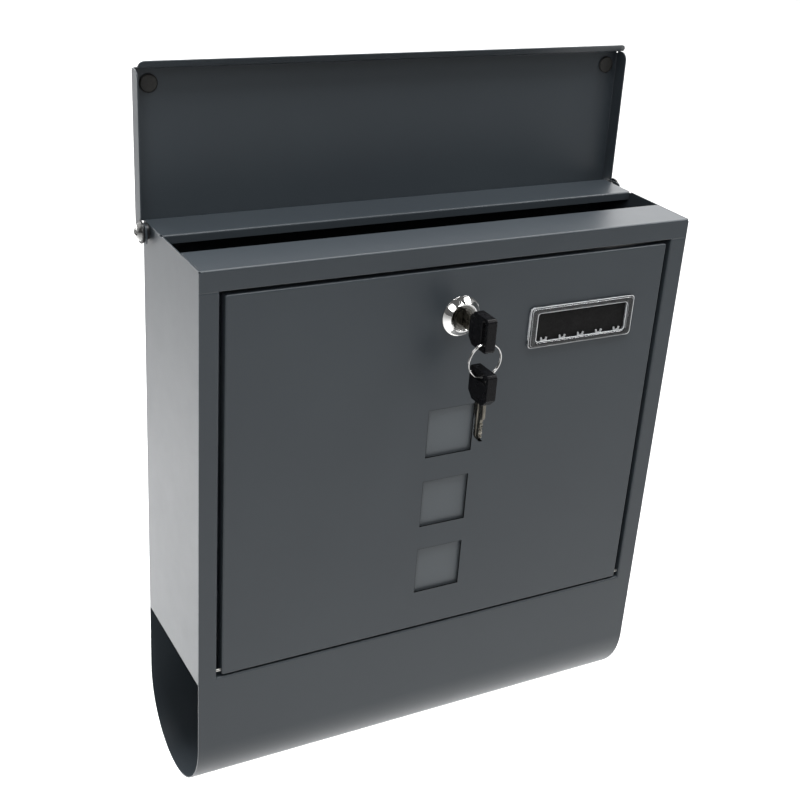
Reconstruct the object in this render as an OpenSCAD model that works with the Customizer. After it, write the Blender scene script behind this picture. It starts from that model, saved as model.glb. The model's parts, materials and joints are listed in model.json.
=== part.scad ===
// Wall-mounted mailbox: a folded sheet-steel cabinet with a hinged top lid over the
// mail slot, a bottom-hinged lockable front door and a newspaper holder underneath.
//
// X runs to the right, Y into the wall, Z up. The origin is at the centre of the
// four wall holes, on the rear face of the back panel. The lid stands open.

/* [Cabinet] */
// Width over the side panels
body_w = 335; // [300:1:380]
// Depth from the wall to the front face
body_d = 96; // [90:1:110]
// Height of the cabinet, without the newspaper holder
body_h = 275; // [265:1:320]
// Thickness of the steel sheet
sheet = 0.8; // [0.7:0.1:1]
// Outside radius of the folds in the sheet
bend_r = 1.2; // [1.1:0.1:1.5]
// Outside radius of the fold along the top rear edge
rear_bend_r = 2.5; // [2.4:0.1:3]
// Depth of the strip that is folded back over the top, in front of the slot
top_strip = 32.5; // [28:0.5:36]
// Depth of the ledge that is folded forward over the top, behind the slot
ledge_d = 33; // [28:0.5:36]
// Height of the ledge's turned-down front lip
ledge_lip = 5.4; // [4:0.1:8]

/* [Wall holes] */
// Distance between the wall holes along X
wall_hole_dx = 250; // [180:5:260]
// Distance between the wall holes along Z
wall_hole_dz = 180; // [140:5:200]
// Diameter of each wall hole
wall_hole_d = 6; // [4:0.5:8]

/* [Newspaper holder] */
// Straight drop from the cabinet's floor to the start of the round bottom
holder_drop = 50; // [40:1:70]

/* [Door] */
// Width of the front frame left and right of the door opening
frame_side = 12; // [11.5:0.5:14]
// Width of the front frame above the door opening
frame_top = 13; // [12:0.5:16]
// Width of the front frame below the door opening
frame_bottom = 3; // [2.6:0.1:5]
// How far the folded edges of the opening reach back from the front face
frame_return = 11.5; // [11.2:0.1:11.6]
// Gap left and right of the door
door_gap_side = 3.4; // [2:0.1:4]
// Gap above the door
door_gap_top = 2.3; // [1.5:0.1:3]
// How far the door's folded edges reach back from its face
door_return = 8; // [7:0.5:9]
// Outside radius of the door's corners
door_corner_r = 1.5; // [1.5:0.1:2]
// Side of each square window in the door
window_side = 33; // [28:1:36]
// Distance from window to window
window_pitch = 50.6; // [46:0.2:56]
// Height of the middle window's centre above the cabinet's floor
window_mid_up = 99.6; // [96:0.2:104]

/* [Door hinge] */
// Hinge axis behind the front face
door_axis_back = 2.8; // [2.6:0.1:3]
// Door's lower edge below the hinge axis
door_axis_up = 2.6; // [2.4:0.1:2.8]
// Radius of the hinge pins
door_pin_r = 1; // [0.9:0.1:1.1]

/* [Lid] */
// Half the width over the lid's side flanges
lid_half_w = 171; // [170.6:0.1:172]
// Hinge axis in front of the wall
lid_axis_front = 7.3; // [7:0.1:9]
// Hinge axis below the top of the cabinet
lid_axis_down = 5.2; // [5:0.1:7]
// Lid panel's outer face from the hinge axis
lid_panel_off = 12.3; // [12:0.1:14]
// Hinge axis to the fold of the front lip
lid_len = 92.5; // [92:0.1:96]
// Depth of the side flanges
lid_flange = 10.8; // [10:0.1:11]
// Length of the front lip, up to its flared edge
lid_lip = 6.9; // [5:0.1:7.5]
// Angle of the front lip to the panel
lid_lip_angle = 77.5; // [70:0.5:82]
// Length of the flared edge of the front lip
lid_flare = 4.5; // [4.1:0.1:6]
// Angle of the flared edge to the panel
lid_flare_angle = 37; // [30:0.5:50]
// How far the open lid leans back from upright
lid_lean = 1.3; // [0:0.1:2]

/* [Lock] */
// Height of the lock's centre above the cabinet's floor
lock_up = 228.7; // [222:0.1:232]
// Diameter of the lock's bezel
bezel_d = 26; // [24:0.5:28]
// How far the bezel stands out of the door
bezel_h = 4.5; // [4:0.1:5]
// Radius of the turning plug
plug_r = 6; // [5.8:0.1:6.2]
// Length of the locking cam from the plug's axis
cam_len = 38.5; // [37:0.5:41]

/* [Keys] */
// Length of the key bow along the blade
bow_len = 21; // [20.5:0.5:24]
// Width of the key bow
bow_w = 21.5; // [21:0.5:23]
// Thickness of the key bow
bow_t = 6.5; // [6:0.5:7]
// Length of the blade outside the bow
blade_len = 25; // [24:0.5:25.5]
// Outside diameter of the key ring
ring_d = 23; // [23:0.5:26]

/* [Name plate] */
// Width of the clear frame
plate_w = 80; // [74:1:84]
// Height of the clear frame
plate_h = 27.5; // [26:0.5:29]
// Width of the frame's window
plate_win_w = 68.5; // [62:0.5:70]
// Height of the frame's window
plate_win_h = 19; // [18:0.5:20]
// Centre of the frame to the right of the door's middle
plate_x = 90.8; // [88:0.1:96]
// Height of the frame's centre above the cabinet's floor
plate_up = 213.7; // [208:0.1:216]

/* [Hidden] */
$fn = 64;
inner_r = bend_r - sheet;
floor_z = -body_h / 2;
roof_z = body_h / 2;
front_y = -body_d;
half_w = body_w / 2;
holder_r = body_d / 2;
holder_z = floor_z - holder_drop;

open_half = half_w - frame_side;
open_top = roof_z - frame_top;
open_bottom = floor_z + frame_bottom;

// Gap under the door: its lower corner swings just clear of the frame's edge
door_gap_bottom = 1.4;
door_half = open_half - door_gap_side;
door_top = open_top - door_gap_top;
door_bottom = open_bottom + door_gap_bottom;
door_axis_y = front_y + door_axis_back;
door_axis_z = door_bottom + door_axis_up;
door_skin_y = front_y + sheet;

lid_axis_y = -lid_axis_front;
lid_axis_z = roof_z - lid_axis_down;
// Lower end of the open lid's panel above the hinge axis
lid_low = 3.1;
flange_in = lid_half_w - sheet;
// Stack on each hinge screw: spacer, ear of the lid, washer, screw head
hinge_play = 0.15;
spacer_out = flange_in - hinge_play;
washer_in = lid_half_w + hinge_play;
washer_t = 1;
screw_r = 2.5;
nut_af = 8;

// Rubber bumpers in the lid's front corners
bumper_r = 5.4;
bumper_t = 1.2;
bumper_x = lid_half_w - 9.7;
bumper_up = lid_len - 8.2;

lock_z = floor_z + lock_up;
lock_face_y = front_y - bezel_h;
barrel_r = 9;
barrel_end_y = front_y + 11.8;
bore_r = plug_r + 0.05;
cam_y = front_y + 12;
cam_t = 1.5;
cam_square = 6;
blade_w = 7;
blade_t = 2.2;
keyway_play = 0.25;
bow_gap = 11;
bow_back_y = lock_face_y - bow_gap;
bow_end_y = bow_back_y - bow_len;
slot_w = 3.6;
slot_edge = 5;
bow_bar = 2;
bow_slot = bow_w - 2 * bow_bar;
slot_y = bow_end_y + slot_edge;

// The ring hangs round the bar between the bow's slot and its lower edge. Its
// centre is as low as lets it turn round the bar's corners.
ring_wire = 0.5;
ring_mid_r = ring_d / 2 - ring_wire;
bar_z = lock_z - bow_w / 2 + bow_bar / 2;
bar_corner = sqrt(pow(bow_t / 2, 2) + pow(bow_bar / 2, 2));
ring_z = bar_z - (ring_mid_r - ring_wire - bar_corner - 0.1);
spare_slot_z = ring_z - ring_mid_r + 0.15;

plate_t = 2.5;
plate_z = floor_z + plate_up;

steel_paint = "#474c50";
panel_shade = "#51575b";

// Extrudes a profile drawn as (Y, Z) along X, from x0 to x1
module along_x(x0, x1) {
    translate([x0, 0, 0]) rotate([90, 0, 90]) linear_extrude(x1 - x0) children();
}

// Extrudes a profile drawn as (X, Y) along Z, from z0 to z1
module along_z(z0, z1) {
    translate([0, 0, z0]) linear_extrude(z1 - z0) children();
}

// Turns a shape built along +Z so that it points along +Y, into the wall
module into_wall() {
    rotate([-90, 0, 0]) children();
}

// Repeats its children mirrored to the other side of the cabinet
module both_sides() {
    children();
    mirror([1, 0, 0]) children();
}

// Flat rectangle between two corners
module rect(a, b) {
    translate(a) square(b - a);
}

// Section of a fold: a quarter ring about the centre c, starting at an angle
module fold(c, start, r = bend_r) {
    translate(c) rotate(start) intersection() {
        difference() {
            circle(r);
            circle(r - sheet);
        }
        square(r + 1);
    }
}

// Rectangle with rounded corners, centred
module round_rect(w, h, r) {
    union() {
        square([w - 2 * r, h], center = true);
        square([w, h - 2 * r], center = true);
        for (x = [-1, 1], y = [-1, 1])
            translate([x * (w / 2 - r), y * (h / 2 - r)]) circle(r);
    }
}

// Points of an arc about c, from one angle to another
function arc(c, r, from, to, steps = 6) =
    [for (i = [0 : steps]) let (a = from + (to - from) * i / steps) c + r * [cos(a), sin(a)]];

// ---- Cabinet ----

// Rear wall, with the ledge folded forward over the top and its lip turned down
module back_panel() {
    color(steel_paint) difference() {
        along_x(-half_w, half_w) {
            rect([-sheet, floor_z], [0, roof_z - rear_bend_r]);
            fold([-rear_bend_r, roof_z - rear_bend_r], 0, rear_bend_r);
            rect([bend_r - ledge_d, roof_z - sheet], [-rear_bend_r, roof_z]);
            fold([bend_r - ledge_d, roof_z - bend_r], 90);
            rect([-ledge_d, roof_z - ledge_lip], [sheet - ledge_d, roof_z - bend_r]);
        }
        // The lip ends short of the side panels
        both_sides()
            translate([half_w - sheet - 0.2, -ledge_d - 1, roof_z - ledge_lip - 1])
                cube([2, 3, ledge_lip + 2]);
        for (x = [-1, 1], z = [-1, 1])
            translate([x * wall_hole_dx / 2, -2, z * wall_hole_dz / 2])
                into_wall() cylinder(h = 3, d = wall_hole_d);
    }
}

// One side panel, drawn on the right: a flat sheet with narrow inward flanges that
// are welded to the front sheet and to the back panel
module side_panel() {
    flange = 10;
    flange_low = floor_z + 10;
    flange_high = roof_z - 7;
    step_y = -ledge_d - 1;
    difference() {
        union() {
            along_x(half_w - sheet, half_w) {
                rect([door_skin_y, floor_z], [step_y, roof_z]);
                rect([step_y, floor_z], [-rear_bend_r, roof_z - sheet]);
                rect([-rear_bend_r, floor_z], [-sheet, roof_z - rear_bend_r]);
            }
            along_z(flange_low, flange_high) {
                rect([half_w - flange, door_skin_y], [half_w - sheet, door_skin_y + sheet]);
                rect([half_w - flange, -2 * sheet], [half_w - sheet, -sheet]);
            }
        }
        translate([half_w - 3, lid_axis_y, lid_axis_z])
            rotate([0, 90, 0]) cylinder(h = 6, r = screw_r + 0.1);
    }
}

module left_side_panel() {
    color(steel_paint) mirror([1, 0, 0]) side_panel();
}

module right_side_panel() {
    color(steel_paint) side_panel();
}

// Folded edges all round the door opening
module opening_returns() {
    back = front_y + frame_return;
    both_sides() along_z(open_bottom - bend_r, open_top + bend_r) {
        rect([open_half, front_y + bend_r], [open_half + sheet, back]);
        fold([open_half + bend_r, front_y + bend_r], 180);
    }
    along_x(-open_half - bend_r, open_half + bend_r) {
        rect([front_y + bend_r, open_top], [back, open_top + sheet]);
        fold([front_y + bend_r, open_top + bend_r], 180);
        rect([front_y + bend_r, open_bottom - sheet], [back, open_bottom]);
        fold([front_y + bend_r, open_bottom - bend_r], 90);
    }
}

// One long sheet: the strip over the top, the front face with the door opening, and
// the newspaper holder, which runs round underneath and up to the back panel
module front_sheet() {
    strip_half = half_w - sheet - 0.2;
    color(steel_paint) difference() {
        union() {
            along_x(-strip_half, strip_half) {
                rect([front_y + bend_r, roof_z - sheet], [front_y + top_strip, roof_z]);
                fold([front_y + bend_r, roof_z - bend_r], 90);
            }
            difference() {
                along_x(-half_w, half_w) {
                    rect([front_y, holder_z], [door_skin_y, roof_z - bend_r]);
                    rect([-sheet, holder_z], [0, floor_z]);
                    translate([-holder_r, holder_z]) difference() {
                        circle(holder_r, $fn = 128);
                        circle(holder_r - sheet, $fn = 128);
                        translate([-body_d, 0]) square(2 * body_d);
                    }
                }
                translate([-open_half - bend_r, front_y - 1, open_bottom - bend_r])
                    cube([2 * (open_half + bend_r), 2 + sheet,
                          open_top - open_bottom + 2 * bend_r]);
            }
            opening_returns();
        }
        // Holes that hold the door's hinge pins
        translate([-half_w, door_axis_y, door_axis_z])
            rotate([0, 90, 0]) cylinder(h = body_w, r = door_pin_r, $fn = 32);
    }
}

// Floor of the cabinet and roof of the newspaper holder, with its ends turned up
module floor_panel() {
    turn_up = 8;
    end = half_w - sheet;
    color(steel_paint) union() {
        translate([-end, door_skin_y, floor_z]) cube([2 * end, body_d - 2 * sheet, sheet]);
        both_sides() translate([end - sheet, front_y + 6, floor_z])
            cube([sheet, body_d - 12, turn_up]);
    }
}

// ---- Lid hinge ----

// Places something at the right-hand end of the lid's hinge, pointing outward
module at_hinge(x) {
    translate([x, lid_axis_y, lid_axis_z]) rotate([0, 90, 0]) children();
}

// Pan-head screws with a cross recess; the ears of the lid turn on their shanks
module lid_hinge_screws() {
    head_r = 5.6;
    head_h = 3.2;
    head_base = washer_in + washer_t;
    dome_r = (head_r * head_r + head_h * head_h) / (2 * head_h);
    start = half_w - sheet - 5;
    color("silver") both_sides() {
        at_hinge(start) cylinder(h = head_base - start, r = screw_r);
        at_hinge(head_base) difference() {
            intersection() {
                cylinder(h = head_h, r = head_r);
                translate([0, 0, head_h - dome_r]) sphere(dome_r);
            }
            for (a = [0, 90]) rotate(a + 20)
                translate([-3, -0.5, head_h - 1.8]) cube([6, 1, 3]);
        }
    }
}

module lid_hinge_washers() {
    // Stays in front of the wall plane
    washer_r = min(7.1, lid_axis_front - 0.2);
    color("#151515") both_sides() at_hinge(washer_in) difference() {
        cylinder(h = washer_t, r = washer_r);
        translate([0, 0, -1]) cylinder(h = washer_t + 2, r = screw_r);
    }
}

module lid_hinge_spacers() {
    spacer_r = 5;
    color("#151515") both_sides() at_hinge(half_w) difference() {
        cylinder(h = spacer_out - half_w, r = spacer_r);
        translate([0, 0, -1]) cylinder(h = 5, r = screw_r);
    }
}

module lid_hinge_nuts() {
    nut_h = 4;
    color("silver") both_sides() at_hinge(half_w - sheet - nut_h) difference() {
        rotate(30) cylinder(h = nut_h, r = nut_af / 2 / cos(30), $fn = 6);
        translate([0, 0, -1]) cylinder(h = nut_h + 2, r = screw_r);
    }
}

// ---- Lid ----

// Moves a lid drawn about the hinge axis, with its panel along Z, into place
module at_lid() {
    translate([0, lid_axis_y, lid_axis_z]) rotate([-lid_lean, 0, 0]) children();
}

// Outline of a side flange as (Y, Z) about the hinge axis: a narrow strip, with a
// deeper ear at the hinge
module lid_flange_outline() {
    free_edge = lid_panel_off - lid_flange;
    flange_top = lid_len + 1;
    corner_r = 5.5;
    ear_front = -8.8;
    // The rear corner stays in front of the wall plane as the lid turns
    ear_back = lid_axis_front - 0.3;
    ear_rear_r = 5;
    ear_top = 5.6;
    ear_low = -5.8;
    ear_corner_r = 2.5;
    difference() {
        union() {
            rect([free_edge, 0], [lid_panel_off - bend_r, flange_top]);
            polygon(concat(
                arc([ear_front + ear_corner_r, ear_low + ear_corner_r], ear_corner_r, 180, 270),
                arc([ear_back - ear_rear_r, ear_low + ear_rear_r], ear_rear_r, 270, 360),
                [[ear_back, ear_top]],
                arc([ear_front + ear_corner_r, ear_top - ear_corner_r], ear_corner_r, 90, 180)
            ));
        }
        // Rounded free corner next to the front lip
        translate([free_edge, flange_top - corner_r]) difference() {
            translate([-1, 0]) square([corner_r + 1, corner_r + 1]);
            translate([corner_r, 0]) circle(corner_r);
        }
        circle(screw_r + 0.05);
    }
}

// Section of the flat panel, the front lip and its flared edge, as (Y, Z) about the
// centre of the lip's fold
module lid_section() {
    lip = lid_lip_angle;
    flare = lid_flare_angle;
    bend = [(bend_r + inner_r) * cos(lip) - lid_lip * sin(lip),
            (bend_r + inner_r) * sin(lip) + lid_lip * cos(lip)];
    along = lid_flare * [-sin(flare), cos(flare)];
    across = [cos(flare), sin(flare)];
    polygon(concat(
        [[bend_r, lid_low - lid_len]],
        arc([0, 0], bend_r, 0, lip),
        arc(bend, inner_r, lip + 180, flare + 180),
        [bend - inner_r * across + along, bend - bend_r * across + along],
        arc(bend, bend_r, flare + 180, lip + 180),
        arc([0, 0], inner_r, lip, 0),
        [[inner_r, lid_low - lid_len]]
    ));
}

// Shallow tray: flat panel, side flanges with hinge ears, and a flared front lip
module lid_panel() {
    fold_y = lid_panel_off - bend_r;
    panel_half = lid_half_w - bend_r;
    tip_r = 4;
    color(steel_paint) at_lid() difference() {
        union() {
            along_x(-panel_half, panel_half) translate([fold_y, lid_len]) lid_section();
            both_sides() {
                along_x(flange_in, lid_half_w) lid_flange_outline();
                along_z(lid_low, lid_len - 0.5) fold([panel_half, fold_y], 0);
            }
        }
        // Rounded free corners of the flared edge
        both_sides() translate([panel_half - tip_r, fold_y, lid_len])
            rotate([lid_lip_angle, 0, 0]) translate([0, bend_r + inner_r, lid_lip])
                rotate([lid_flare_angle - lid_lip_angle, 0, 0])
                    translate([0, 0, lid_flare - tip_r]) rotate([90, 0, 0])
                        linear_extrude(bend_r + 1) difference() {
                            square(tip_r + 1);
                            circle(tip_r);
                        }
    }
}

// Rubber discs that the closed lid rests on
module lid_bumpers() {
    color("#1b1b1b") at_lid() both_sides()
        translate([bumper_x, lid_panel_off - sheet - bumper_t, bumper_up])
            into_wall() union() {
                cylinder(h = bumper_t, r = bumper_r - 0.4);
                translate([0, 0, 0.4]) cylinder(h = bumper_t - 0.4, r = bumper_r);
            }
}

// ---- Door ----

// Section of the door's rim as (distance outward, depth): skin, fold and return,
// starting where the corner's centre line is
module rim_section() {
    rect([0, 0], [door_corner_r - bend_r, sheet]);
    fold([door_corner_r - bend_r, bend_r], 270);
    rect([door_corner_r - sheet, bend_r], [door_corner_r, door_return]);
}

// Shallow pan with folded edges and rounded corners, w by h, its face on Z = 0 and
// open towards +Z
module folded_pan(w, h) {
    cx = w / 2 - door_corner_r;
    cy = h / 2 - door_corner_r;
    union() {
        translate([-cx, -cy, 0]) cube([2 * cx, 2 * cy, sheet]);
        for (s = [[1, 1, 0], [-1, 1, 90], [-1, -1, 180], [1, -1, 270]])
            translate([s[0] * cx, s[1] * cy, 0]) rotate(s[2])
                rotate_extrude(angle = 90) rim_section();
        for (a = [0, 180]) {
            rotate(a) translate([cx, cy, 0]) rotate([90, 0, 0])
                linear_extrude(2 * cy) rim_section();
            rotate(a + 90) translate([cy, cx, 0]) rotate([90, 0, 0])
                linear_extrude(2 * cx) rim_section();
        }
    }
}

// Moves something drawn on the plane of the door's face, as (X, Z) with +Z as depth
module on_door(x, z, y = front_y) {
    translate([x, y, z]) mirror([0, 1, 0]) rotate([90, 0, 0]) children();
}

// Peg positions of the name plate, left and right of its window
module plate_pegs() {
    for (x = [-1, 1]) translate([x * (plate_w + plate_win_w) / 4, 0, 0]) children();
}

module door_panel() {
    mid_z = (door_top + door_bottom) / 2;
    color(steel_paint) difference() {
        on_door(0, mid_z) folded_pan(2 * door_half, door_top - door_bottom);
        for (i = [-1, 0, 1])
            on_door(0, floor_z + window_mid_up + i * window_pitch)
                translate([-window_side / 2, -window_side / 2, -1])
                    cube([window_side, window_side, sheet + 2]);
        on_door(0, lock_z) translate([0, 0, -1]) cylinder(h = sheet + 2, r = barrel_r + 0.2);
        on_door(plate_x, plate_z) plate_pegs()
            translate([0, 0, -1]) cylinder(h = sheet + 2, r = 1.6, $fn = 32);
        translate([-half_w, door_axis_y, door_axis_z])
            rotate([0, 90, 0]) cylinder(h = body_w, r = door_pin_r + 0.05, $fn = 32);
    }
}

// Strip behind the three windows, set back in the middle and welded at its wings
module door_backing_strip() {
    centre_half = window_side / 2 + 3;
    wing = 8;
    set_back = 2;
    low = window_mid_up - window_pitch - window_side / 2 - 7;
    high = window_mid_up + window_pitch + window_side / 2 + 7;
    color(panel_shade) along_z(floor_z + low, floor_z + high) union() {
        rect([-centre_half - sheet, front_y + set_back],
             [centre_half + sheet, front_y + set_back + sheet]);
        for (x = [-centre_half - wing, centre_half])
            rect([x, door_skin_y], [x + wing, door_skin_y + sheet]);
        for (x = [-centre_half - sheet, centre_half])
            rect([x, door_skin_y], [x + sheet, front_y + set_back + sheet]);
    }
}

// Short pins, riveted into the folded edges of the opening
module door_hinge_pins() {
    inner = door_half - 2.1;
    outer = open_half + sheet;
    color("silver") both_sides() translate([0, door_axis_y, door_axis_z]) rotate([0, 90, 0])
        union() {
            translate([0, 0, inner]) cylinder(h = outer - inner, r = door_pin_r, $fn = 32);
            translate([0, 0, outer]) cylinder(h = 1, r = 1.8, $fn = 32);
        }
}

// Clear frame with a raised rim, card clips along the bottom and two snap pegs
module name_plate_cover() {
    clips = 5;
    clip_w = 5;
    clip_pitch = (plate_win_w - 5) / (clips - 1);
    card_depth = 0.8;
    color([0.8, 0.85, 0.88, 0.5]) on_door(plate_x, plate_z) mirror([0, 0, 1]) difference() {
        union() {
            linear_extrude(1.7) round_rect(plate_w, plate_h, 2.5);
            translate([0, 0, 1.7]) linear_extrude(plate_t - 1.7)
                round_rect(plate_w - 2.4, plate_h - 2.4, 1.6);
            mirror([0, 0, 1]) plate_pegs() cylinder(h = 3, r = 1.5, $fn = 32);
        }
        difference() {
            translate([0, 0, -1]) linear_extrude(plate_t + 2)
                round_rect(plate_win_w, plate_win_h, 2);
            for (i = [0 : clips - 1])
                translate([-plate_win_w / 2 + i * clip_pitch, -plate_win_h / 2 - 1, 1.3])
                    cube([clip_w, 3.4, 0.8]);
        }
        translate([-plate_win_w / 2 - 1, -plate_win_h / 2 - 1, -0.01])
            cube([plate_win_w + 2, plate_win_h + 2, card_depth + 0.01]);
    }
}

// Plain card behind the clear frame
module name_card() {
    color("#141414") on_door(plate_x, plate_z) mirror([0, 0, 1])
        translate([0, 0, 0.1]) linear_extrude(0.5)
            square([plate_win_w + 1, plate_win_h + 1], center = true);
}

// ---- Lock ----

// Moves something drawn along +Z to the lock's axis, pointing into the door
module at_lock(y) {
    translate([0, y, lock_z]) into_wall() children();
}

// Bezel and threaded barrel with the bore for the plug
module lock_housing() {
    rim = bezel_d / 2;
    barrel = barrel_end_y - lock_face_y;
    color("silver") at_lock(lock_face_y) rotate_extrude() polygon([
        [bore_r, 0.6], [8.2, 0.6], [8.4, 0], [9.3, 0], [9.5, 0.4],
        [rim - 1, bezel_h - 1.4], [rim, bezel_h - 0.8], [rim, bezel_h],
        [barrel_r, bezel_h], [barrel_r, barrel], [bore_r, barrel]
    ]);
}

module lock_nut() {
    nut_h = 2.5;
    color("silver") at_lock(door_skin_y) difference() {
        cylinder(h = nut_h, r = 13.2, $fn = 6);
        translate([0, 0, -1]) cylinder(h = nut_h + 2, r = barrel_r);
    }
}

// Turning plug with its keyway and the square drive for the cam
module lock_plug() {
    length = cam_y - lock_face_y;
    keyway = blade_len - bow_gap + 0.8;
    color("#b8b8b0") at_lock(lock_face_y) difference() {
        union() {
            translate([0, 0, -0.2]) cylinder(h = length + 0.2, r = plug_r);
            translate([-cam_square / 2, -cam_square / 2, length])
                cube([cam_square, cam_square, cam_t]);
        }
        translate([-blade_t / 2 - keyway_play, -blade_w / 2 - keyway_play, -1])
            cube([blade_t + 2 * keyway_play, blade_w + 2 * keyway_play, keyway + 1]);
        translate([0, 0, keyway + 0.6]) cylinder(h = 9, r = 1.5, $fn = 32);
    }
}

// Cam, turned to the left when the lock is open; a quarter turn lifts it behind
// the folded edge above the door
module lock_cam() {
    tip_r = 5;
    color("silver") at_lock(cam_y) linear_extrude(cam_t) difference() {
        union() {
            circle(8);
            rect([-cam_len + tip_r, -tip_r], [0, tip_r]);
            translate([-cam_len + tip_r, 0]) circle(tip_r);
        }
        square(cam_square, center = true);
    }
}

module cam_screw() {
    color("silver") at_lock(cam_y + cam_t) union() {
        cylinder(h = 2, r = 4.2);
        translate([0, 0, -2]) cylinder(h = 2, r = 1.5, $fn = 32);
    }
}

// ---- Keys ----

// Bow, drawn in its own plane as (across, along) with the blade towards +along
module bow_outline() {
    clip = 4.5;
    half = bow_w / 2;
    difference() {
        polygon([
            [-half + 1.5, 0], [half - 1.5, 0], [half, 1.5], [half, bow_len - clip],
            [half - clip, bow_len], [clip - half, bow_len], [-half, bow_len - clip],
            [-half, 1.5]
        ]);
        translate([0, slot_edge]) union() {
            square([bow_slot - slot_w, slot_w], center = true);
            for (x = [-1, 1]) translate([x * (bow_slot - slot_w) / 2, 0])
                circle(slot_w / 2, $fn = 24);
        }
    }
}

// Blade in the same plane, with a rounded tip. Its wide part ends just short of the
// plug's face.
module blade_outline() {
    shoulder = 5;
    root = bow_len - 6;
    shoulder_end = bow_len + bow_gap - 0.5;
    union() {
        rect([-blade_w / 2, root], [blade_w / 2, bow_len + blade_len - 2.5]);
        rect([-shoulder, root], [shoulder, shoulder_end]);
        rect([2.5 - blade_w / 2, root], [blade_w / 2 - 2.5, bow_len + blade_len]);
        for (x = [-1, 1])
            translate([x * (blade_w / 2 - 2.5), bow_len + blade_len - 2.5]) circle(2.5);
    }
}

// The plate of a key, cut from the outline and centred on its own plane
module key_plate(t) {
    translate([0, 0, -t / 2]) linear_extrude(t) children();
}

// Stands a key's plane upright along the lock's axis, bow outside and blade inside
module at_keyway() {
    translate([0, bow_end_y, lock_z]) rotate([0, 0, 90]) rotate([90, 0, 0])
        rotate([0, 0, -90]) children();
}

// Hangs a key from the ring, bow up and blade down
module at_spare() {
    translate([0, slot_y, spare_slot_z + slot_edge]) rotate([0, 90, 0]) rotate([0, 0, -90])
        children();
}

module key_blade() {
    color("#9a9178") at_keyway() key_plate(blade_t) blade_outline();
}

// The moulded bow is cast round the root of the blade
module key_bow_shape() {
    difference() {
        key_plate(bow_t) bow_outline();
        key_plate(blade_t) blade_outline();
    }
}

module key_bow() {
    color("#161616") at_keyway() key_bow_shape();
}

// Two close turns of spring wire
module key_ring() {
    turn_offset = 0.4;
    color("silver") translate([0, slot_y, ring_z]) into_wall() rotate_extrude() union()
        for (s = [-1, 1])
            translate([ring_mid_r, s * turn_offset]) circle(ring_wire, $fn = 24);
}

module spare_key_blade() {
    color("#9a9178") at_spare() key_plate(blade_t) blade_outline();
}

module spare_key_bow() {
    color("#161616") at_spare() key_bow_shape();
}

back_panel();
left_side_panel();
right_side_panel();
front_sheet();
floor_panel();
lid_hinge_screws();
lid_hinge_washers();
lid_hinge_spacers();
lid_hinge_nuts();
lid_panel();
lid_bumpers();
door_panel();
door_backing_strip();
door_hinge_pins();
name_plate_cover();
name_card();
lock_housing();
lock_nut();
lock_plug();
lock_cam();
cam_screw();
key_blade();
key_bow();
key_ring();
spare_key_blade();
spare_key_bow();
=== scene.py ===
"""Looks of the wall-mounted mailbox: finishes, fine pieces, soft light and the camera."""
import json
import math

import bmesh
import bpy
from mathutils import Matrix, Vector


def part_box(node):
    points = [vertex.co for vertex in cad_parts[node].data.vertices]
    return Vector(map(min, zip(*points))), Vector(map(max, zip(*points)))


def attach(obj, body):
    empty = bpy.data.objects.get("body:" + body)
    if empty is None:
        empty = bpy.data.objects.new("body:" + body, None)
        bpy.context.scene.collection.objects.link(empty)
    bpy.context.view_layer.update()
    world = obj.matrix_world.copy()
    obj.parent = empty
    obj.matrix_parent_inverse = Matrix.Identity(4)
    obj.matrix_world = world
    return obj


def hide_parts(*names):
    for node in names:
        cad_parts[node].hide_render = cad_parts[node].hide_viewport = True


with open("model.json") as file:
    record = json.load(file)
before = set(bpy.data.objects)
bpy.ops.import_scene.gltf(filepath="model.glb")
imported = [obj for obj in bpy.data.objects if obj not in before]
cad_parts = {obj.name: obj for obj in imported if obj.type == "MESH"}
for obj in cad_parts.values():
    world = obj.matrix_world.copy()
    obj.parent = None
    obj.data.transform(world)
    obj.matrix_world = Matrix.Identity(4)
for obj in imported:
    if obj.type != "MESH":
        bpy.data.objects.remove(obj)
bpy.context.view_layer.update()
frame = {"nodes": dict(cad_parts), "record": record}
NODES = frame["nodes"]
BODY_OF = {node: body for body, members in frame["record"]["behaviour"]["bodies"].items()
           for node in members}
MM = 0.001


# ---------------------------------------------------------------- node helpers

def material(name):
    """A new node material: its tree and its Principled shader."""
    mat = bpy.data.materials.new(name)
    mat.use_nodes = True
    tree = mat.node_tree
    tree.nodes.clear()
    shader = tree.nodes.new("ShaderNodeBsdfPrincipled")
    out = tree.nodes.new("ShaderNodeOutputMaterial")
    tree.links.new(shader.outputs["BSDF"], out.inputs["Surface"])
    return mat, tree, shader


def noise(tree, per_metre, detail=3.0, rough=0.55, stretch=(1, 1, 1)):
    """Noise in the object's own metres, finer the larger per_metre is."""
    coord = tree.nodes.new("ShaderNodeTexCoord")
    place = tree.nodes.new("ShaderNodeMapping")
    place.inputs["Scale"].default_value = stretch
    tex = tree.nodes.new("ShaderNodeTexNoise")
    tex.inputs["Scale"].default_value = per_metre
    tex.inputs["Detail"].default_value = detail
    tex.inputs["Roughness"].default_value = rough
    tree.links.new(coord.outputs["Object"], place.inputs["Vector"])
    tree.links.new(place.outputs["Vector"], tex.inputs["Vector"])
    return tex.outputs["Fac"]


def spread(tree, value, low, high, start=0.3, end=0.7):
    """Maps a noise value between two numbers."""
    node = tree.nodes.new("ShaderNodeMapRange")
    node.inputs["From Min"].default_value = start
    node.inputs["From Max"].default_value = end
    node.inputs["To Min"].default_value = low
    node.inputs["To Max"].default_value = high
    tree.links.new(value, node.inputs["Value"])
    return node.outputs["Result"]


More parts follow.
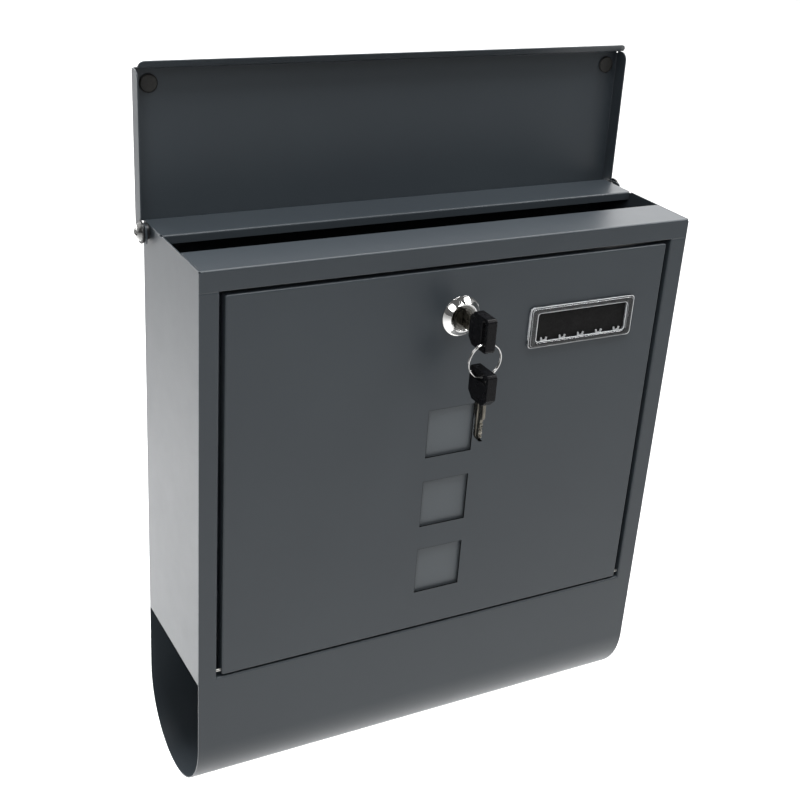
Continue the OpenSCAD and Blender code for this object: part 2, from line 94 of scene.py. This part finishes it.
def tint(tree, value, low, high, start=0.3, end=0.7):
    """Maps a noise value between two colours."""
    node = tree.nodes.new("ShaderNodeValToRGB")
    node.color_ramp.elements[0].position = start
    node.color_ramp.elements[1].position = end
    node.color_ramp.elements[0].color = (*low, 1)
    node.color_ramp.elements[1].color = (*high, 1)
    tree.links.new(value, node.inputs["Fac"])
    return node.outputs["Color"]


def bump(tree, shader, heights):
    """Chains bumps: (height value, depth in metres, strength)."""
    normal = None
    for height, depth, strength in heights:
        node = tree.nodes.new("ShaderNodeBump")
        node.inputs["Distance"].default_value = depth
        node.inputs["Strength"].default_value = strength
        tree.links.new(height, node.inputs["Height"])
        if normal is not None:
            tree.links.new(normal, node.inputs["Normal"])
        normal = node.outputs["Normal"]
    tree.links.new(normal, shader.inputs["Normal"])


def math_node(tree, kind, a, b=0.0):
    """One Math node; a and b are sockets or plain numbers."""
    node = tree.nodes.new("ShaderNodeMath")
    node.operation = kind
    for socket, value in zip(node.inputs, (a, b)):
        if isinstance(value, (int, float)):
            socket.default_value = value
        else:
            tree.links.new(value, socket)
    return node.outputs["Value"]


def position(tree):
    """X, Y and Z in the object's own metres."""
    coord = tree.nodes.new("ShaderNodeTexCoord")
    parts = tree.nodes.new("ShaderNodeSeparateXYZ")
    tree.links.new(coord.outputs["Object"], parts.inputs["Vector"])
    return parts.outputs


def blend_colour(tree, share, colour, other):
    """A colour socket blended towards a fixed colour by a share."""
    mix = tree.nodes.new("ShaderNodeMix")
    mix.data_type = "RGBA"
    tree.links.new(share, mix.inputs["Factor"])
    tree.links.new(colour, mix.inputs["A"])
    mix.inputs["B"].default_value = (*other, 1)
    return mix.outputs["Result"]


# Wear and a painted highlight along the edges of the coat: how much lighter, how wide and how strong
WORN_AND_SHEEN_LIGHTER, WEAR_AND_SHEEN_WIDTH, WEAR_AND_SHEEN_AMOUNT = 2.0, 0.4 * MM, 0.6
# Painted shade for the cut edges of the windows, standing in for the shadow inside the reveals
REVEAL_SHADE_COLOUR = (0.002, 0.002, 0.002)


def edge_mask(tree, radius):
    """1 along the edges, fading to 0 a radius away from them."""
    rounded = tree.nodes.new("ShaderNodeBevel")
    rounded.samples = 4
    rounded.inputs["Radius"].default_value = radius
    flat = tree.nodes.new("ShaderNodeNewGeometry")
    match = tree.nodes.new("ShaderNodeVectorMath")
    match.operation = "DOT_PRODUCT"
    tree.links.new(rounded.outputs["Normal"], match.inputs[0])
    tree.links.new(flat.outputs["Normal"], match.inputs[1])
    return spread(tree, match.outputs["Value"], 1.0, 0.0, 0.80, 0.99)


def worn_and_sheen_colour(tree, colour, worn, radius, amount):
    """Blends a colour towards a lighter one along the edges, in patches: partly wear, partly a
    painted highlight on the rounded edges.
    """
    patches = spread(tree, noise(tree, 110, 5), 0.35, 1.0)
    share = math_node(tree, "MULTIPLY", edge_mask(tree, radius),
                      math_node(tree, "MULTIPLY", patches, amount))
    return blend_colour(tree, share, colour, worn), share


def window_shade_mask(tree, middle, pitch, half):
    """1 on the cut edges of three square windows in a column, 0 elsewhere: where the shade of the
    reveals is painted.
    """
    at = position(tree)
    aside = math_node(tree, "ABSOLUTE", at["X"])
    upward = math_node(tree, "ABSOLUTE", math_node(tree, "SUBTRACT", at["Z"], middle))
    outer = math_node(tree, "ABSOLUTE", math_node(tree, "SUBTRACT", upward, pitch))
    nearest = math_node(tree, "MINIMUM", upward, outer)
    beyond = math_node(tree, "SUBTRACT", math_node(tree, "MAXIMUM", aside, nearest), half)
    return spread(tree, beyond, 1.0, 0.0, 0.12 * MM, 0.32 * MM)


def powder_coat(name, dark, light, rough, seam=None, windows=None):
    """Satin powder coat: a faint mottle, a fine orange peel and uneven gloss."""
    mat, tree, shader = material(name)
    mottle = noise(tree, 9, 4)
    # Lighter edges, partly wear and partly a painted highlight; the same share lowers the roughness
    coat, wear_and_sheen = worn_and_sheen_colour(tree, tint(tree, mottle, dark, light),
                             [WORN_AND_SHEEN_LIGHTER * c for c in light], WEAR_AND_SHEEN_WIDTH, WEAR_AND_SHEEN_AMOUNT)
    if windows:
        # Painted shade: the cut edges of the windows are darkened and lose their gloss, standing in
        # for the shadow inside the reveals
        painted_reveal_shade = window_shade_mask(tree, *windows)
        coat = blend_colour(tree, painted_reveal_shade, coat, REVEAL_SHADE_COLOUR)
        tree.links.new(spread(tree, painted_reveal_shade, 0.5, 0.02, 0, 1), shader.inputs["Specular IOR Level"])
    tree.links.new(coat, shader.inputs["Base Color"])
    gloss = spread(tree, noise(tree, 60, 5), rough - 0.012, rough + 0.012)
    tree.links.new(math_node(tree, "SUBTRACT", gloss, math_node(tree, "MULTIPLY", wear_and_sheen, 0.08)),
                   shader.inputs["Roughness"])
    shader.inputs["IOR"].default_value = 1.42
    reliefs = [
        (noise(tree, 420, 2), 0.00002, 0.10),
        (noise(tree, 2400, 2), 0.00001, 0.10),
    ]
    if seam:
        # Welded seam that shows through the coat, outside a half width and at a height
        half_width, height = seam
        at = position(tree)
        aside = math_node(tree, "ABSOLUTE", at["X"])
        beyond = math_node(tree, "GREATER_THAN", aside, half_width)
        away = math_node(tree, "ABSOLUTE", math_node(tree, "SUBTRACT", at["Z"], height))
        groove = spread(tree, away, 0, 1, 0.0001, 0.0007)
        reliefs.append((math_node(tree, "MAXIMUM", groove,
                                  math_node(tree, "SUBTRACT", 1.0, beyond)), 0.00022, 0.8))
    bump(tree, shader, reliefs)
    return mat


def bare_metal(name, dark, light, rough, per_metre=300, stretch=(1, 1, 1), depth=0.1):
    """Plated or bare metal with fine scratches along one direction."""
    mat, tree, shader = material(name)
    shader.inputs["Metallic"].default_value = 1.0
    grain = noise(tree, per_metre, 4, 0.6, stretch)
    tree.links.new(tint(tree, grain, dark, light), shader.inputs["Base Color"])
    tree.links.new(spread(tree, grain, rough * 0.7, rough * 1.3), shader.inputs["Roughness"])
    bump(tree, shader, [(grain, 0.00002, depth)])
    return mat


def moulded(name, dark, light, rough, gloss, grain=1400):
    """Moulded plastic or rubber with a fine spark-eroded grain."""
    mat, tree, shader = material(name)
    shader.inputs["Specular IOR Level"].default_value = gloss
    fine = noise(tree, grain, 3)
    tree.links.new(tint(tree, fine, dark, light), shader.inputs["Base Color"])
    broad = noise(tree, 200, 3)
    tree.links.new(spread(tree, broad, rough - 0.06, rough + 0.06), shader.inputs["Roughness"])
    bump(tree, shader, [(fine, 0.00004, 0.25)])
    return mat


# ---------------------------------------------------------------- materials

DOOR_LOW, DOOR_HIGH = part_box("door_panel")
STRIP_LOW, STRIP_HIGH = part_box("door_backing_strip")
DOOR_GAP_SIDE, DOOR_GAP_TOP = 3.4 * MM, 2.3 * MM
WINDOW_PITCH, WINDOW_SIDE = 50.6 * MM, 33 * MM

# The welded seam runs outwards from the upper corners of the door opening
SEAM = (DOOR_HIGH.x + DOOR_GAP_SIDE, DOOR_HIGH.z + DOOR_GAP_TOP)
WINDOWS = ((STRIP_LOW.z + STRIP_HIGH.z) / 2, WINDOW_PITCH, WINDOW_SIDE / 2)
PAINT_DARK, PAINT_LIGHT = (0.0315, 0.0385, 0.0455), (0.0345, 0.0425, 0.0495)
SATIN = 0.38
PAINT = powder_coat("anthracite_powder_coat", PAINT_DARK, PAINT_LIGHT, SATIN)
SHEET_PAINT = powder_coat("anthracite_coat_with_seam", PAINT_DARK, PAINT_LIGHT, SATIN, SEAM)
DOOR_PAINT = powder_coat("anthracite_coat_with_windows", PAINT_DARK, PAINT_LIGHT, SATIN,
                         windows=WINDOWS)
WINDOW_PAINT = powder_coat("window_strip_coat", (0.070, 0.080, 0.088), (0.080, 0.091, 0.100), 0.42)
SCREW_CHROME = bare_metal("tarnished_chrome", (0.17, 0.17, 0.166), (0.30, 0.30, 0.295), 0.11, 900,
                          depth=0.05)
RING_STEEL = bare_metal("bright_spring_steel", (0.55, 0.55, 0.54), (0.70, 0.70, 0.69), 0.10, 900)
ZINC = bare_metal("zinc_plate", (0.50, 0.50, 0.47), (0.66, 0.66, 0.63), 0.32, 500, (1, 1, 3), 0.2)
NICKEL = bare_metal("dark_nickel", (0.055, 0.053, 0.048), (0.12, 0.116, 0.104), 0.12, 700,
                    (1, 4, 1), 0.2)
KEY_METAL = bare_metal("dull_nickel_brass", (0.085, 0.079, 0.067), (0.25, 0.235, 0.20), 0.28, 500,
                       (1, 1, 0.2), 0.3)
BLACK_PLASTIC = moulded("black_moulded_plastic", (0.003, 0.003, 0.0035), (0.006, 0.006, 0.007),
                        0.24, 0.13)
WASHER_PLASTIC = moulded("black_nylon", (0.008, 0.008, 0.009), (0.014, 0.014, 0.015), 0.42, 0.4)
RUBBER = moulded("black_rubber", (0.012, 0.0115, 0.0105), (0.022, 0.021, 0.019), 0.62, 0.5, 900)
CARD = moulded("black_card", (0.004, 0.004, 0.004), (0.008, 0.008, 0.008), 0.65, 0.12, 700)


def lock_chrome():
    """Polished bezel whose sunk face, inside a radius, is darker."""
    low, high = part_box("lock_housing")
    face_r, ring_r = 7.9 * MM, 8.15 * MM
    mat, tree, shader = material("lock_chrome")
    shader.inputs["Metallic"].default_value = 1.0
    grain = noise(tree, 900, 4, 0.6)
    at = position(tree)
    across = math_node(tree, "SUBTRACT", at["X"], (low.x + high.x) / 2)
    upward = math_node(tree, "SUBTRACT", at["Z"], (low.z + high.z) / 2)
    squares = [math_node(tree, "MULTIPLY", value, value) for value in (across, upward)]
    radius = math_node(tree, "SQRT", math_node(tree, "ADD", *squares))
    worn = spread(tree, grain, 0.0, 0.12)
    bright = math_node(tree, "SUBTRACT", spread(tree, radius, 0.12, 1.0, face_r, ring_r), worn)
    tree.links.new(tint(tree, bright, (0.09, 0.088, 0.08), (0.80, 0.80, 0.79), 0.0, 1.0),
                   shader.inputs["Base Color"])
    tree.links.new(spread(tree, grain, 0.04, 0.08), shader.inputs["Roughness"])
    bump(tree, shader, [(grain, 0.00002, 0.02)])
    return mat


def clear_plastic(name, haze, dark, light, rough):
    """Clear moulding, slightly cloudy; haze is the share that scatters light."""
    mat, tree, shader = material(name)
    shader.inputs["Transmission Weight"].default_value = 1.0 - haze
    shader.inputs["IOR"].default_value = 1.49
    cloud = noise(tree, 220, 3)
    tree.links.new(tint(tree, cloud, dark, light), shader.inputs["Base Color"])
    tree.links.new(spread(tree, cloud, rough, rough * 2), shader.inputs["Roughness"])
    bump(tree, shader, [(noise(tree, 160, 2), 0.00005, 0.12)])
    return mat


LOCK_CHROME = lock_chrome()
CLEAR = clear_plastic("clear_polystyrene", 0.0, (0.26, 0.275, 0.29), (0.34, 0.355, 0.37), 0.05)
# Painted highlight: a near-white, mostly scattering plastic for the thin strips that stand in for
# light caught in the plate's edges
PAINTED_GLINT_PLASTIC = clear_plastic("painted_glint_polystyrene", 0.75, (0.80, 0.82, 0.84), (0.92, 0.94, 0.95),
                        0.10)
CLIP_PLASTIC = clear_plastic("clear_polystyrene_clip", 0.45, (0.55, 0.565, 0.58),
                             (0.78, 0.79, 0.80), 0.10)

FINISH = {
    PAINT: ["back_panel", "left_side_panel", "right_side_panel", "floor_panel",
            "lid_panel"],
    DOOR_PAINT: ["door_panel"],
    SHEET_PAINT: ["front_sheet"],
    WINDOW_PAINT: ["door_backing_strip"],
    SCREW_CHROME: ["lid_hinge_screws"],
    LOCK_CHROME: ["lock_housing"],
    RING_STEEL: ["key_ring"],
    ZINC: ["lid_hinge_nuts", "door_hinge_pins", "lock_nut", "lock_cam", "cam_screw"],
    NICKEL: ["lock_plug"],
    KEY_METAL: ["key_blade", "spare_key_blade"],
    BLACK_PLASTIC: ["key_bow", "spare_key_bow"],
    WASHER_PLASTIC: ["lid_hinge_washers", "lid_hinge_spacers"],
    RUBBER: ["lid_bumpers"],
    CARD: ["name_card"],
    CLEAR: ["name_plate_cover"],
}
for finish, names in FINISH.items():
    for name in names:
        slots = NODES[name].data.materials
        slots.clear()
        slots.append(finish)


# ---------------------------------------------------------------- softened edges

def soften(obj, width, segments=2, angle=30):
    """Welds the facets, rounds the sharp edges by width and evens out the shading."""
    mesh = obj.data
    if "custom_normal" in mesh.attributes:
        mesh.attributes.remove(mesh.attributes["custom_normal"])
    if "sharp_edge" in mesh.attributes:
        mesh.attributes.remove(mesh.attributes["sharp_edge"])
    for face in mesh.polygons:
        face.use_smooth = True
    weld = obj.modifiers.new("weld", "WELD")
    weld.merge_threshold = 0.004 * MM
    flat = obj.modifiers.new("flat_faces", "DECIMATE")
    flat.decimate_type = "DISSOLVE"
    flat.angle_limit = math.radians(0.8)
    edge = obj.modifiers.new("edges", "BEVEL")
    edge.width = width
    edge.segments = segments
    edge.limit_method = "ANGLE"
    edge.angle_limit = math.radians(angle)
    edge.use_clamp_overlap = False
    even = obj.modifiers.new("even_shading", "WEIGHTED_NORMAL")
    even.keep_sharp = False
    even.weight = 90


EDGES = {
    0.16 * MM: ["back_panel", "left_side_panel", "right_side_panel", "front_sheet", "floor_panel",
                "lid_panel", "door_panel", "door_backing_strip"],
    0.12 * MM: ["lock_housing", "lid_hinge_nuts", "lock_nut", "lock_cam",
                "cam_screw", "lid_hinge_spacers", "lid_hinge_washers"],
    0.10 * MM: ["lock_plug", "door_hinge_pins", "lid_hinge_screws"],
    0.45 * MM: ["key_bow", "spare_key_bow", "lid_bumpers"],
}
for width, names in EDGES.items():
    for name in names:
        soften(NODES[name], width, 3 if width > 0.3 * MM else 2)


# ---------------------------------------------------------------- new pieces

def piece(name, build, finish, body, slot, *stands_for):
    """A new mesh from a bmesh recipe, riding on a body."""
    bm = bmesh.new()
    build(bm)
    mesh = bpy.data.meshes.new(name)
    bmesh.ops.recalc_face_normals(bm, faces=bm.faces)
    bm.to_mesh(mesh)
    bm.free()
    for face in mesh.polygons:
        face.use_smooth = True
    mesh.materials.append(finish)
    obj = bpy.data.objects.new(name, mesh)
    bpy.context.scene.collection.objects.link(obj)
    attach(obj, body)
    if stands_for:
        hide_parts(*stands_for)
    return obj


def skin(bm, rings, closed=False):
    """Faces between neighbouring rings; closed joins the last to the first, else both are capped."""
    count = len(rings[0])
    after = rings[1:] + rings[:1] if closed else rings[1:]
    for a, b in zip(rings, after):
        for k in range(count):
            bm.faces.new((a[k], a[(k + 1) % count], b[(k + 1) % count], b[k]))
    if not closed:
        bm.faces.new(rings[0])
        bm.faces.new(rings[-1])


def sweep(bm, path, outline, frame_of):
    """Sweeps an outline of (out, side) points along a path and caps both ends."""
    rings = []
    for i, at in enumerate(path):
        out, side = frame_of(i)
        rings.append([bm.verts.new(at + out * u + side * v) for u, v in outline])
    skin(bm, rings)


def split_ring(bm):
    """Two turns of flattened spring wire that step over each other once."""
    low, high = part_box("key_ring")
    centre = (low + high) / 2
    wire_out, wire_side = 0.46 * MM, 0.40 * MM
    radius = (high.x - low.x) / 2 - 0.51 * MM
    step_half = (high.y - low.y) / 2 - wire_side - 0.01 * MM
    outline = []
    for k in range(12):
        a = 2 * math.pi * k / 12
        c, s = math.cos(a), math.sin(a)
        outline.append((wire_out * math.copysign(abs(c) ** 0.7, c),
                        wire_side * math.copysign(abs(s) ** 0.7, s)))
    turns, per_turn, start = 2, 96, math.radians(205)
    path, outs = [], []
    total = turns * per_turn - 6
    for i in range(total + 1):
        a = start + 2 * math.pi * i / per_turn
        t = min(1.0, max(0.0, (i - per_turn + 9) / 12))
        y = (2 * t * t * (3 - 2 * t) - 1) * step_half
        out = Vector((math.cos(a), 0, math.sin(a)))
        path.append(centre + out * radius + Vector((0, y, 0)))
        outs.append(out)
    sweep(bm, path, outline, lambda i: (outs[i], Vector((0, 1, 0))))


piece("split_ring", split_ring, RING_STEEL, "key_ring", "bright_chrome", "key_ring")


def cut_blade(bm, origin, along, across, length, cuts):
    """A key's blade: wide root, a groove down both faces and cuts in its edges.

    It starts at origin and runs along by length. Each cut is (distance from the root, depth in
    the left edge) in millimetres, and the right edge is cut by what is left of 1.5."""
    side = along.cross(across)
    half_t, wide, slim = 1.1 * MM, 5.0 * MM, 3.5 * MM
    root, mill = 16.5 * MM, 0.45 * MM
    chamfer = 0.6 * MM
    stations = [(0, wide, wide), (root - chamfer, wide, wide), (root, wide - chamfer, wide - chamfer),
                (root + 0.02 * MM, slim, slim), (root + 1.4 * MM, slim, slim)]
    for at, depth in cuts:
        middle = root + at * MM
        for shift, share in ((-0.8, 0), (-0.35, 1), (0.35, 1), (0.8, 0)):
            stations.append((middle + shift * MM, slim - depth * share * MM,
                             slim - (1.5 - depth) * share * MM))
    # The tip narrows in two steps: (distance from the end, cut from each edge)
    for before, cut in ((2.2 * MM, 0), (0.8 * MM, 0.9 * MM), (0, 2.2 * MM)):
        stations.append((length - before, slim - cut, slim - cut))
    rings = []
    for at, left, right in stations:
        deep = mill if root - 6 * MM < at < length - 1.5 * MM else 0.02 * MM
        outline = [(-left, -half_t), (-1.5 * MM, -half_t), (-1.2 * MM, deep - half_t),
                   (0.5 * MM, deep - half_t), (0.8 * MM, -half_t), (right, -half_t),
                   (right, half_t), (0.8 * MM, half_t), (0.5 * MM, half_t - deep),
                   (-1.2 * MM, half_t - deep), (-1.5 * MM, half_t), (-left, half_t)]
        rings.append([bm.verts.new(origin + along * at + across * u + side * v)
                      for u, v in outline])
    skin(bm, rings)


CUTS = [(2.6, 0.9), (4.7, 0.4), (6.8, 1.2), (8.9, 0.6), (11.0, 1.0)]


def lock_key_blade(bm):
    low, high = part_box("key_blade")
    mid = (low + high) / 2
    cut_blade(bm, Vector((mid.x, low.y, mid.z)), Vector((0, 1, 0)), Vector((0, 0, 1)),
              high.y - low.y, CUTS)


def spare_blade(bm):
    low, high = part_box("spare_key_blade")
    mid = (low + high) / 2
    cut_blade(bm, Vector((mid.x, mid.y, high.z)), Vector((0, 0, -1)), Vector((0, 1, 0)),
              high.z - low.z, CUTS)


for name, build, node in (("cut_key_blade", lock_key_blade, "key_blade"),
                          ("cut_spare_blade", spare_blade, "spare_key_blade")):
    blade = piece(name, build, KEY_METAL, BODY_OF[node], "key_metal", node)
    soften(blade, 0.10 * MM)


def rounded_loop(width, height, radius, steps=6):
    """Points of a rounded rectangle about the origin, in order."""
    points = []
    for quarter, (sx, sy) in enumerate(((1, 1), (-1, 1), (-1, -1), (1, -1))):
        for k in range(steps + 1):
            a = math.radians(90 * (quarter + k / steps))
            points.append((sx * (width / 2 - radius) + radius * math.cos(a),
                           sy * (height / 2 - radius) + radius * math.sin(a)))
    return points


PLATE_LOW, PLATE_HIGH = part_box("name_plate_cover")
PLATE_MID = (PLATE_LOW + PLATE_HIGH) / 2
DOOR_FACE = DOOR_LOW.y
PLATE_OUT = DOOR_FACE - PLATE_LOW.y
PLATE_W, PLATE_H = PLATE_HIGH.x - PLATE_LOW.x, PLATE_HIGH.z - PLATE_LOW.z
WINDOW_W, WINDOW_H = 68.5 * MM, 19.0 * MM


def plate_point(x, z, out):
    return Vector((PLATE_MID.x + x, DOOR_FACE - out, PLATE_MID.z + z))


def plate_ring(bm, profile):
    """A closed frame; profile is (share of the way in to the window, height) steps."""
    loops = []
    for share, out in profile:
        width = PLATE_W + (WINDOW_W - PLATE_W) * share
        height = PLATE_H + (WINDOW_H - PLATE_H) * share
        radius = (2.5 - 0.7 * share) * MM
        loops.append([bm.verts.new(plate_point(x, z, out))
                      for x, z in rounded_loop(width, height, radius)])
    skin(bm, loops, closed=True)


def plate_frame(bm):
    """Flat flange, a raised bead round the window and a peg at either end."""
    plate_ring(bm, [(0.0, 0.02 * MM), (0.0, 1.3 * MM), (0.06, 1.6 * MM), (0.20, 1.65 * MM),
                    (0.24, 2.25 * MM), (0.30, PLATE_OUT - 0.02 * MM), (0.66, PLATE_OUT - 0.02 * MM),
                    (0.74, 2.3 * MM), (0.80, 1.9 * MM), (0.95, 1.8 * MM), (1.0, 1.65 * MM),
                    (1.0, 0.75 * MM), (0.84, 0.72 * MM), (0.84, 0.02 * MM)])
    peg_length, peg_tip_r, peg_root_r = 2.98 * MM, 1.05 * MM, 1.45 * MM
    for side in (-1, 1):
        peg = bmesh.ops.create_cone(bm, cap_ends=True, segments=20, radius1=peg_tip_r,
                                    radius2=peg_root_r, depth=peg_length)
        turn = Matrix.Rotation(math.radians(90), 4, "X")
        at = plate_point(side * (PLATE_W + WINDOW_W) / 4, 0, -peg_length / 2)
        bmesh.ops.transform(bm, matrix=Matrix.Translation(at) @ turn, verts=peg["verts"])


def plate_glint_strips(bm):
    """Thin whitish strips round the flange, the bead and the window: painted highlights for the light
    caught in the clear plastic's edges.
    """
    sunk, shoulder, crown = 0.12 * MM, 0.08 * MM, 0.16 * MM
    for share, out, wide in ((0.0, 1.52 * MM, 0.085), (0.225, 2.08 * MM, 0.05),
                             (0.90, 1.84 * MM, 0.085)):
        plate_ring(bm, [(share, out - sunk), (share + 0.005, out + shoulder),
                        (share + 0.4 * wide, out + crown), (share + wide, out + shoulder),
                        (share + 0.9 * wide, out - sunk)])


def card_clips(bm):
    """Five small forked clips along the window's lower edge."""
    pitch, narrower = 14.2 * MM, 0.8
    foot = -WINDOW_H / 2 - 0.5 * MM
    fork = [(-2.9, 0), (-2.9, 1.5), (-3.3, 2.7), (-2.1, 3.1), (-1.7, 1.7), (-0.7, 1.2), (0.7, 1.2),
            (1.7, 1.7), (2.1, 3.1), (3.3, 2.7), (2.9, 1.5), (2.9, 0)]
    for i in range(-2, 3):
        layers = []
        for out, shrink in ((1.05, 0.10), (1.15, 0.0), (1.75, 0.0), (1.9, 0.12)):
            size = (1 - shrink) * MM
            layers.append([bm.verts.new(plate_point(i * pitch + x * size * narrower,
                                                    foot + z * size, out * MM))
                           for x, z in fork])
        skin(bm, layers)


frame_piece = piece("clear_plate_frame", plate_frame, CLEAR, BODY_OF["name_plate_cover"],
                    "clear_plastic", "name_plate_cover")
soften(frame_piece, 0.12 * MM)
piece("clear_plate_painted_glints", plate_glint_strips, PAINTED_GLINT_PLASTIC, BODY_OF["name_plate_cover"], "clear_plastic")
soften(piece("clear_card_clips", card_clips, CLIP_PLASTIC, BODY_OF["name_plate_cover"],
             "clear_plastic"), 0.08 * MM)


# ---------------------------------------------------------------- stage and light

def plane(name, corners, finish):
    mesh = bpy.data.meshes.new(name)
    mesh.from_pydata(corners, [], [tuple(range(len(corners)))])
    mesh.materials.append(finish)
    obj = bpy.data.objects.new(name, mesh)
    bpy.context.scene.collection.objects.link(obj)
    return obj


floor_mat, floor_tree, floor_shader = material("pale_studio_floor")
floor_tint = noise(floor_tree, 1.5, 3)
floor_tree.links.new(tint(floor_tree, floor_tint, (0.73, 0.73, 0.73), (0.75, 0.75, 0.75)),
                     floor_shader.inputs["Base Color"])
floor_shader.inputs["Roughness"].default_value = 0.9
FLOOR_Z = -0.60
REACH = 14
floor = plane("studio_floor", [(REACH * math.cos(math.radians(7.5 * k)),
                                REACH * math.sin(math.radians(7.5 * k)), FLOOR_Z)
                               for k in range(48)], floor_mat)

world = bpy.data.worlds.new("soft_studio")
bpy.context.scene.world = world
world.use_nodes = True
sky = world.node_tree
along = sky.nodes.new("ShaderNodeTexCoord")
parts = sky.nodes.new("ShaderNodeSeparateXYZ")
sky.links.new(along.outputs["Generated"], parts.inputs["Vector"])
glow = sky.nodes.new("ShaderNodeMapRange")
glow.interpolation_type = "SMOOTHSTEP"
glow.inputs["From Min"].default_value = -0.25
glow.inputs["From Max"].default_value = 0.45
glow.inputs["To Min"].default_value = 0.12
glow.inputs["To Max"].default_value = 1.25
sky.links.new(parts.outputs["Y"], glow.inputs["Value"])
sky.links.new(glow.outputs["Result"], sky.nodes["Background"].inputs["Strength"])
sky.nodes["Background"].inputs["Color"].default_value = (1, 1, 1, 1)


def softbox(name, at, towards, width, height, power):
    """A large area light that faces a point and isn't seen itself."""
    lamp = bpy.data.lights.new(name, "AREA")
    lamp.shape = "RECTANGLE"
    lamp.size, lamp.size_y = width, height
    lamp.energy = power
    obj = bpy.data.objects.new(name, lamp)
    obj.location = at
    aim = Vector(towards) - Vector(at)
    obj.rotation_euler = aim.to_track_quat("-Z", "Y").to_euler()
    obj.visible_camera = False
    bpy.context.scene.collection.objects.link(obj)
    return obj


# Name, place, aim, width, height and power in watts
SOFTBOXES = (
    ("near_bank", (1.0, 1.7, 2.4), (1.0, 1.7, 0), 2.6, 2.4, 103),
    ("far_bank", (2.0, 5.2, 2.8), (2.0, 5.2, 0), 5.4, 3.5, 215),
    ("top_box", (0.0, -0.50, 1.7), (0.0, -0.05, 0.1), 0.9, 0.5, 27),
    ("left_box", (-0.78, 0.90, 0.25), (-0.52, 0.80, -0.6), 0.5, 0.5, 21),
    ("front_left", (-0.83, -0.87, 0.91), (0.0, -0.1, 0.0), 0.6, 0.6, 5),
    ("front_right", (1.00, -0.37, 1.03), (0.0, -0.1, 0.0), 0.6, 0.6, 10.5),
)
for box in SOFTBOXES:
    softbox(*box)


# ---------------------------------------------------------------- camera

def aim_camera(at, azimuth, elevation, roll, lens):
    """A camera looking along an azimuth (0 is +Y) and down by an elevation."""
    a, e, r = (math.radians(x) for x in (azimuth, elevation, roll))
    ahead = Vector((-math.sin(a) * math.cos(e), math.cos(a) * math.cos(e), -math.sin(e)))
    level = ahead.cross(Vector((0, 0, 1))).normalized()
    up = level.cross(ahead)
    right = level * math.cos(r) + up * math.sin(r)
    top = up * math.cos(r) - level * math.sin(r)
    turn = Matrix((right, top, -ahead)).transposed()
    data = bpy.data.cameras.new("camera")
    data.sensor_width = 36
    data.lens = lens
    data.clip_start, data.clip_end = 0.02, 60
    cam = bpy.data.objects.new("camera", data)
    cam.matrix_world = Matrix.Translation(at) @ turn.to_4x4()
    bpy.context.scene.collection.objects.link(cam)
    bpy.context.scene.camera = cam


aim_camera(Vector((-0.3991, -0.7339, 0.3857)), -29.51, 25.22, 4.17, 59.59)

bpy.context.scene.view_settings.view_transform = "Standard"
bpy.context.scene.view_settings.look = "None"
